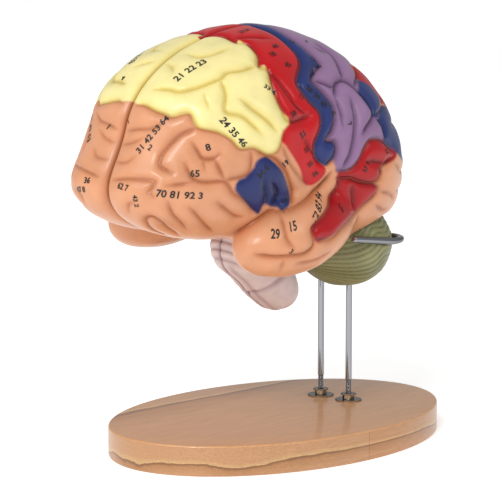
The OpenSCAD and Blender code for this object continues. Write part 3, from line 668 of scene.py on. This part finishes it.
def rodPath(bendSteps=16, cornerSteps=24, armSteps=1):
    # middle, direction out of the cradle and direction down of each ring above the thread
    c = cradle
    # close rings just above the thread and below the bend keep the long leg's shading even
    top, bendStart = c["threadTop"], c["height"] - c["bend"]
    rings = [((c["legX"], c["legY"], z), (0, 1, 0), (1, 0, 0))
             for z in (top + 0.1, top + 0.3, top + 1, bendStart - 1)]
    for a in np.radians(np.linspace(0, 90, bendSteps + 1)):
        rings.append(((c["legX"] + c["bend"] * (1 - np.cos(a)), c["legY"],
                       c["height"] - c["bend"] * (1 - np.sin(a))), (0, 1, 0), (np.cos(a), 0, -np.sin(a))))
    turn, rise = np.radians(90 + c["toeIn"]), np.radians(c["rise"])
    barEnd = c["cornerX"] - c["cornerR"]
    for a in np.linspace(0, turn, cornerSteps + 1):
        tilt = rise / 2 if a == turn else 0
        place = (barEnd + c["cornerR"] * np.sin(a), c["legY"] - c["cornerR"] * (1 - np.cos(a)), c["height"])
        rings.append((place, (np.sin(a), np.cos(a), 0),
                      (np.cos(a) * np.sin(tilt), -np.sin(a) * np.sin(tilt), -np.cos(tilt))))
    ahead = np.array([np.cos(turn) * np.cos(rise), -np.sin(turn) * np.cos(rise), np.sin(rise)])
    across = (np.sin(turn), np.cos(turn), 0)
    down = (np.cos(turn) * np.sin(rise), -np.sin(turn) * np.sin(rise), -np.cos(rise))
    start = np.array(rings[-1][0])
    for far in (0.5, *np.linspace(0, c["arm"] - 1, armSteps + 1)[1:], c["arm"]):
        rings.append((tuple(start + ahead * far), across, down))
    return rings, ahead


def seatOnRod(points, side):
    # skin that would be in a rod's way goes back to just clear of it, as in a slot
    rings, _ = rodPath(12, 30, 30)
    middle, outward, down = [np.array([ring[i] for ring in rings], float) * (side, 1, 1) for i in range(3)]
    fine = np.linspace(0, len(middle) - 1, 4 * len(middle))
    at = np.arange(len(middle))
    middle, outward, down = [np.stack([np.interp(fine, at, v[:, k]) for k in range(3)], 1)
                             for v in (middle, outward, down)]
    radius = cradle["rod"] / 2 + cradle["seat"]
    moved = points.copy()
    near = np.flatnonzero(np.min(np.linalg.norm(points[:, None] - middle[None, ::6], axis=2), axis=1) < 14)
    gap = points[near][:, None] - middle[None]
    along = np.linalg.norm(gap, axis=2).argmin(1)
    gap = gap[np.arange(len(near)), along]
    out, up = np.sum(gap * outward[along], 1), np.sum(gap * down[along], 1)
    back = -np.sqrt(np.maximum(radius ** 2 - up ** 2, 0))
    shift = np.where((np.abs(up) < radius) & (out > back), back - out, 0)
    moved[near] += outward[along] * shift[:, None]
    return moved


def makeCerebellum():
    # an ellipsoid with low broad ribs and fine folia, which run as meridians about an axis
    # that rises to the back by the fan pitch and waver a little along their way
    cells = smallBrain["cells"]
    s, t = squareGrid(cells)
    n = heading(s, t)
    hub = np.array(smallBrain["hub"], float)
    points = hub + n * reach(smallBrainAt, hub, n)[:, None]
    pitch = np.radians(smallBrain["fanPitch"])
    back, rise = points[:, 1] - hub[1], points[:, 2] - hub[2]
    along = back * np.cos(pitch) + rise * np.sin(pitch)
    turn = np.degrees(np.arctan2(rise * np.cos(pitch) - back * np.sin(pitch), points[:, 0])) + 90
    turn += 1.6 * np.sin(along / 8.0 + points[:, 0] / 19.0) + 0.9 * np.sin(along / 3.7 - points[:, 0] / 11.0)
    rib = 0.5 + 0.5 * np.cos(2 * np.pi * smallBrain["ribs"] * turn / 180)
    leaf = 1 - np.abs(np.sin(np.pi * smallBrain["folia"] * turn / 180)) ** 0.6
    midline = drop(np.abs(points[:, 0]), 8)
    fall = smallBrain["ribDepth"] * rib + smallBrain["foliaDepth"] * leaf + 4 * midline
    points = points - n * fall[:, None]
    rim = np.maximum(np.abs(s), np.abs(t)) > 0.9999
    points[rim, 0] = 0
    # painted shade, partly also a paint wash: darker in the grooves between ribs and folia and at the midline
    wash = np.clip(0.2 * rib + 0.8 * leaf + midline, 0, 1)
    whole = lambda colour: np.tile(np.array(linear(colour)), (len(s), 1))
    paint = mixed(whole(smallBrain["paint"]), whole(smallBrain["wash"]), wash)
    skin, fan = halfOrganFaces(cells)
    for side, name in ((1, "left"), (-1, "right")):
        placed = inCradle(np.vstack([points, hub]), side)
        placed = seatOnRod(placed, side)
        faces = np.vstack([skin, fan])[:, ::side]
        newPiece("small_brain_" + name, placed, faces.tolist(), cerebellumPaint,
                 ["cerebellum_" + name], len(skin), np.vstack([paint, [linear(smallBrain["paint"])]]))


makeCerebellum()
print("cerebellum made")


def makeStem():
    # pons and medulla with cross ridges above and long ridges below
    cells = stem["cells"]
    s, t = squareGrid(cells)
    n = heading(s, t)
    hub = np.array(stem["hub"], float)
    points = hub + n * reach(stemAt, hub, n)[:, None]
    upper = np.clip((points[:, 2] - 158) / 14, 0, 1)
    across = np.abs(np.sin((points[:, 2] + 0.5 * points[:, 1]) / 2.6)) ** 0.7
    along = np.abs(np.sin(np.arctan2(points[:, 0], 12.0) * 5.0)) ** 0.8
    ridge = 1 - (upper * across + (1 - upper) * along)
    groove = np.exp(-((points[:, 2] - 0.8 * points[:, 1] - 166) / 3.5) ** 2)
    midline = drop(np.abs(points[:, 0]), 5)
    points = points - n * (1.5 * ridge + 2.2 * groove + 2 * midline)[:, None]
    rim = np.maximum(np.abs(s), np.abs(t)) > 0.9999
    points[rim, 0] = 0
    # painted shade, partly also a paint wash: darker in the ridges' grooves, the cross groove and at the
    # midline
    wash = np.clip(0.75 * ridge + 0.6 * groove + 0.9 * midline, 0, 1)
    whole = lambda colour: np.tile(np.array(linear(colour)), (len(s), 1))
    paint = mixed(whole(stem["paint"]), whole(stem["wash"]), wash)
    skin, fan = halfOrganFaces(cells)
    for side, name in ((1, "left"), (-1, "right")):
        placed = inCradle(np.vstack([points, hub]), side)
        faces = np.vstack([skin, fan])[:, ::side]
        newPiece("stem_" + name, placed, faces.tolist(), stemPaint,
                 ["brainstem_" + name], len(skin), np.vstack([paint, [linear(stem["paint"])]]))


makeStem()
print("brainstem made")

# Plain numbers in the printed places: text, place on the square map in hundredths,
# angle in degrees and height in millimetres, on the left side and on the right side
numbers = {
    "left": [
        ("1", -96, 40, 20, 6), ("2", -79, 17, -30, 7), ("8", -56, 15, 10, 8), ("29", -30, -22, 10, 8),
        ("15", -24, -19, 15, 8), ("19", -27, 6, 40, 7), ("3", -24, -27, -30, 6), ("10", -26, -12, 20, 6),
        ("16", -1, -15, -50, 6), ("17", 18, 0, -60, 6), ("14", 22, 8, -60, 6), ("7", 4, 22, -60, 7),
        ("9", -2, 28, -50, 6), ("11", -18, 36, -40, 6), ("18", -26, 60, 15, 7), ("12", -3, 57, -45, 6),
        ("5", 3, 71, -40, 6), ("13", -8, 71, -40, 6), ("20 34", -34, 86, 15, 6),
        ("21 22 23", -66, 60, 22, 9), ("31 42 53 64", -79, 25, 42, 8), ("65", -60, 3, 0, 8),
        ("70 81 92 3", -64, -7, 0, 8), ("24 35 46", -47, 21, -58, 8), ("54 6", -36, 3, 48, 7),
        ("72 83 94", -12, -13.5, 38, 6.5), ("27 9", 11, 2, 60, 6), ("28 39 40", -10, 36, -50, 7),
        ("62 7", -87, -7, 0, 7), ("43 2", -80, -13, -75, 6), ("33 4", -32, 40, -40, 6),
        ("50", -23, 28, 30, 6), ("51", -19, 19, 30, 7), ("52", -17, 12, 30, 6), ("55", -15, 5, 35, 6),
        ("56", -12, 0, 35, 6), ("44", -22, 66, 20, 7), ("45", -20, 53, 20, 7)],
    "right": [
        ("1", -90, 30, 0, 7), ("4", -78, 56, 0, 7), ("36", -90, -8, 0, 7), ("67 8", -86, -14, 0, 7),
        ("21 22 23", -60, 60, 0, 9), ("31 42 53", -74, 20, -40, 8), ("70 81 92 3", -60, -7, 0, 8),
        ("24 35 46", -47, 21, 58, 8), ("15", -24, -19, 0, 8), ("16", -1, -15, 0, 6), ("29", -30, -22, 0, 8),
        ("28 39 40", -10, 36, 50, 7), ("18", -26, 60, 0, 7), ("7", 4, 22, 0, 7), ("19", -27, 6, 0, 7)],
}


def textOutline(text):
    # flat letters as points and faces, one unit high, centred
    curve = bpy.data.curves.new("text", "FONT")
    curve.body = text
    curve.align_x = curve.align_y = "CENTER"
    curve.size = 1
    curve.offset = 0.02
    curve.resolution_u = 3
    letters = bpy.data.objects.new("text", curve)
    bpy.context.scene.collection.objects.link(letters)
    bpy.context.view_layer.update()
    mesh = bpy.data.meshes.new_from_object(letters)
    points = np.array([v.co[:2] for v in mesh.vertices])
    faces = [list(f.vertices) for f in mesh.polygons]
    bpy.data.objects.remove(letters)
    bpy.data.meshes.remove(mesh)
    return points, faces


def makeNumbers(side, name, lift=0.55):
    # each letter point goes from a plane square to its ray out of the hub onto the skin, just above it
    allPoints, allFaces, count = [], [], 0
    for text, across, up, angle, height in numbers[name]:
        flat, faces = textOutline(text)
        s, t = across / 100, up / 100
        near = heading(np.array([s, s + 0.01, s]), np.array([t, t, t + 0.01]), brain["stretch"])
        place = brainHub + near[0] * reach(lobesAt, brainHub, near[:1])[0]
        rightward = near[1] - near[0]
        rightward -= near[0] * (rightward @ near[0])
        rightward /= np.linalg.norm(rightward)
        upward = np.cross(rightward, near[0])
        upward *= np.sign(upward @ (near[2] - near[0])) / np.linalg.norm(upward)
        a = np.radians(angle)
        x = (flat[:, 0] * np.cos(a) - flat[:, 1] * np.sin(a)) * height * side
        y = (flat[:, 0] * np.sin(a) + flat[:, 1] * np.cos(a)) * height
        points = place + x[:, None] * rightward + y[:, None] * upward
        n = points - brainHub
        n /= np.linalg.norm(n, axis=1, keepdims=True)
        skin = hemisphereSkin(n)[0]
        allPoints.append(skin + n * lift)
        allFaces += [[v + count for v in f] for f in faces]
        count += len(points)
    newPiece("plain_numbers_" + name, inCradle(np.vstack(allPoints), side), allFaces, numberInk)


makeNumbers(1, "left")
makeNumbers(-1, "right")
print("numbers made")


def makeBoard():
    # oval rings drawn in along a quarter round at the top and bottom edges
    a = np.linspace(0, 2 * np.pi, board["around"], endpoint=False)
    turn = np.radians(np.linspace(0, 90, 7))
    inset = board["ease"] * (1 - np.sin(turn))
    height = board["ease"] * (1 - np.cos(turn))
    insets = np.concatenate([[60], inset, inset[::-1], [60]])
    heights = np.concatenate([[0], height, board["thickness"] - height[::-1], [board["thickness"]]])
    rings = [np.stack([(board["width"] / 2 - i) * np.cos(a), (board["length"] / 2 - i) * np.sin(a),
                       np.full(len(a), z)], 1) for i, z in zip(insets, heights)]
    points = np.vstack(rings)
    faces = ringFaces(len(rings), len(a))
    last = (len(rings) - 1) * len(a)
    faces += [list(range(len(a)))[::-1], list(range(last, last + len(a)))]
    piece = newPiece("oval_board", points, faces, boardWood, ["base_board"])
    cutters = []
    for x in (-cradle["legX"], cradle["legX"]):
        for d, low, high in ((board["hole"], -5, board["thickness"] + 5),
                             (board["pocket"], -5, board["pocketDepth"])):
            bpy.ops.mesh.primitive_cylinder_add(vertices=64, radius=d / 2 * mm, depth=(high - low) * mm,
                                                location=(x * mm, cradle["legY"] * mm, (low + high) / 2 * mm))
            cutters.append(bpy.context.object)
            cut = piece.modifiers.new("bore", "BOOLEAN")
            cut.operation, cut.object, cut.solver = "DIFFERENCE", cutters[-1], "EXACT"
    bpy.context.view_layer.update()
    drilled = bpy.data.meshes.new_from_object(piece.evaluated_get(bpy.context.evaluated_depsgraph_get()))
    piece.modifiers.clear()
    piece.data = drilled
    for cutter in cutters:
        bpy.data.objects.remove(cutter)
    drilled.set_sharp_from_angle(angle=np.radians(28))


makeBoard()
print("board made")


def makeRods():
    # threaded foot, leg, bend, bar, corner and arm as one swept skin with a rounded tip
    around, c = 32, cradle
    turns = int((c["threadTop"] - c["foot"]) / c["pitch"] * 8)
    rings = [((c["legX"], c["legY"], z), (0, 1, 0), (1, 0, 0), 0)
             for z in np.linspace(c["foot"], c["threadTop"], turns)]
    above, ahead = rodPath()
    rings += [(*ring, c["rod"] / 2) for ring in above]
    end, across, down = above[-1]
    for k in np.radians([30, 60, 85]):
        rings.append((tuple(np.array(end) + ahead * c["tip"] * np.sin(k)), across, down,
                      c["rod"] / 2 - c["tip"] * (1 - np.cos(k))))
    a = np.linspace(0, 2 * np.pi, around, endpoint=False)
    middle = np.array([ring[0] for ring in rings])[:, None]
    one = np.array([ring[1] for ring in rings], float)[:, None]
    two = np.array([ring[2] for ring in rings], float)[:, None]
    radius = np.array([ring[3] for ring in rings])[:, None]
    # a rolled thread: a triangle wave along the leg that climbs one pitch a turn
    phase = (middle[..., 2] / cradle["pitch"] - a / (2 * np.pi)) % 1
    thread = cradle["thread"] / 2 - 0.45 * np.abs(2 * phase - 1)
    radius = np.where(radius == 0, thread, radius)
    outward = one * np.cos(a)[:, None] + two * np.sin(a)[:, None]
    points = (middle + outward * radius[..., None]).reshape(-1, 3)
    faces = ringFaces(len(rings), around)
    last = (len(rings) - 1) * around
    faces += [list(range(around))[::-1], list(range(last, last + around))]
    for side, name in ((1, "left"), (-1, "right")):
        turned = [f[::side] for f in faces]
        newPiece("chrome_rod_" + name, points * np.array([side, 1, 1]), turned, chrome,
                 ["cradle_rod_" + name])


makeRods()
print("rods made")

footing = {"washer": 25, "washerThk": 1.2, "rim": 14.6, "rimThk": 1.6, "flats": 10, "height": 5.6,
           "bore": 5.5, "top": 27}


def turnedProfile(profile, around, shape=None):
    # closed profile of (radius, height) carried round the axis; shape gives the flats
    a = np.linspace(0, 2 * np.pi, around, endpoint=False)
    rows = []
    for radius, z, flats in profile:
        edge = np.full(around, radius, float)
        if flats:
            edge = np.minimum(edge, shape(a))
        rows.append(np.stack([edge * np.cos(a), edge * np.sin(a), np.full(around, z)], 1))
    points = np.vstack(rows)
    n = len(rows)
    i, k = np.meshgrid(np.arange(n), np.arange(around), indexing="ij")
    p, q = i * around + k, i * around + (k + 1) % around
    up = ((i + 1) % n) * around
    faces = np.stack([p, q, up + (k + 1) % around, up + k], -1).reshape(-1, 4).tolist()
    return points, faces


def hexagon(a):
    # distance to a hexagon's side, half the width across flats from the axis
    return footing["flats"] / 2 / np.cos((a + np.pi / 6) % (np.pi / 3) - np.pi / 6)


def atFeet(name, points, faces, replaced):
    # the same turned piece round each rod's foot, as one object
    allPoints = np.vstack([points + np.array([x, cradle["legY"], 0])
                           for x in (-cradle["legX"], cradle["legX"])])
    allFaces = faces + [[v + len(points) for v in f] for f in faces]
    piece = newPiece(name, allPoints, allFaces, zinc, replaced)
    piece.data.set_sharp_from_angle(angle=np.radians(25))


def makeFeet():
    # washers with eased edges, and hexagonal nuts with their rims uppermost
    b, top = footing["bore"] / 2, footing["top"]
    w, thk = footing["washer"] / 2, footing["washerThk"]
    washer = [(b, top, 0), (w - 0.3, top, 0), (w, top + 0.3, 0), (w, top + thk - 0.3, 0),
              (w - 0.3, top + thk, 0), (b, top + thk, 0)]
    atFeet("wide_washers", *turnedProfile(washer, 64), ["foot_washers"])
    low, rim = top + thk, footing["rim"] / 2
    high, rimLow = low + footing["height"], low + footing["height"] - footing["rimThk"]
    corner = footing["flats"] / 2 / np.cos(np.pi / 6)
    nut = [(b, low, 0), (footing["flats"] / 2, low, 0), (corner, low + 0.5, 1), (corner, rimLow, 1),
           (rim - 0.6, rimLow, 0), (rim, rimLow + 0.4, 0), (rim, high - 0.4, 0), (rim - 0.5, high, 0),
           (b + 0.5, high, 0), (b, high - 0.4, 0)]
    atFeet("rim_nuts", *turnedProfile(nut, 96, hexagon), ["flange_nuts"])


makeFeet()
print("foot hardware made")

for node, material in (("under_washers", zinc), ("under_nuts", zinc), ("cerebrum_pegs", pegPlastic),
                       ("cerebellum_peg", pegPlastic), ("brainstem_peg", pegPlastic)):
    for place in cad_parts[node].material_slots:
        place.material = material

# Studio
studio = {
    "floor": "#FBFBFA", "glow": 0.42, "ambient": 0.48, "sun": 1.55, "sunAngle": 18,
    "sunFrom": (0.42, -0.9, 0.9),
    "lights": [
        # name, place, size in metres, watts
        ("softbox", (-0.2, -1.7, 1.5), 0.9, 9),
        ("strip", (1.6, 0.3, 1.2), 0.6, 4),
    ],
}


def makeStudio():
    # white floor and backdrop, a broad sun and two area lamps
    floorPaint, floorShader = newMaterial("matt white floor", Roughness=0.7)
    floorShader.inputs["Base Color"].default_value = (*linear(studio["floor"]), 1)
    floorShader.inputs["Emission Color"].default_value = (1, 1, 1, 1)
    floorShader.inputs["Emission Strength"].default_value = studio["glow"]
    mesh = bpy.data.meshes.new("floor")
    far = 6
    mesh.from_pydata([(-far, -far, 0), (far, -far, 0), (far, far, 0), (-far, far, 0)], [], [(0, 1, 2, 3)])
    mesh.materials.append(floorPaint)
    floor = bpy.data.objects.new("floor", mesh)
    bpy.context.scene.collection.objects.link(floor)
    # the backdrop is seen white, and lights the scene less than it shows
    world = bpy.data.worlds.new("studio")
    bpy.context.scene.world = world
    world.use_nodes = True
    seen = addNode(world, "ShaderNodeLightPath")
    strength = addNode(world, "ShaderNodeMapRange", Value=(seen, "Is Camera Ray"),
                       i3=studio["ambient"], i4=1.0)
    background = world.node_tree.nodes["Background"]
    background.inputs["Color"].default_value = (1, 1, 1, 1)
    linkTo(world, strength, "Result", background, "Strength")
    aim = (0, -0.03, 0.24)
    sun = bpy.data.lights.new("sun", "SUN")
    sun.energy = studio["sun"]
    sun.angle = np.radians(studio["sunAngle"])
    lamps = [(sun, studio["sunFrom"])]
    for name, place, size, watts in studio["lights"]:
        data = bpy.data.lights.new(name, "AREA")
        data.size = size
        data.energy = watts
        lamps.append((data, place))
    for data, place in lamps:
        lamp = bpy.data.objects.new(data.name, data)
        bpy.context.scene.collection.objects.link(lamp)
        lamp.matrix_world = lookFrom(place, aim)


makeStudio()
print("studio made")
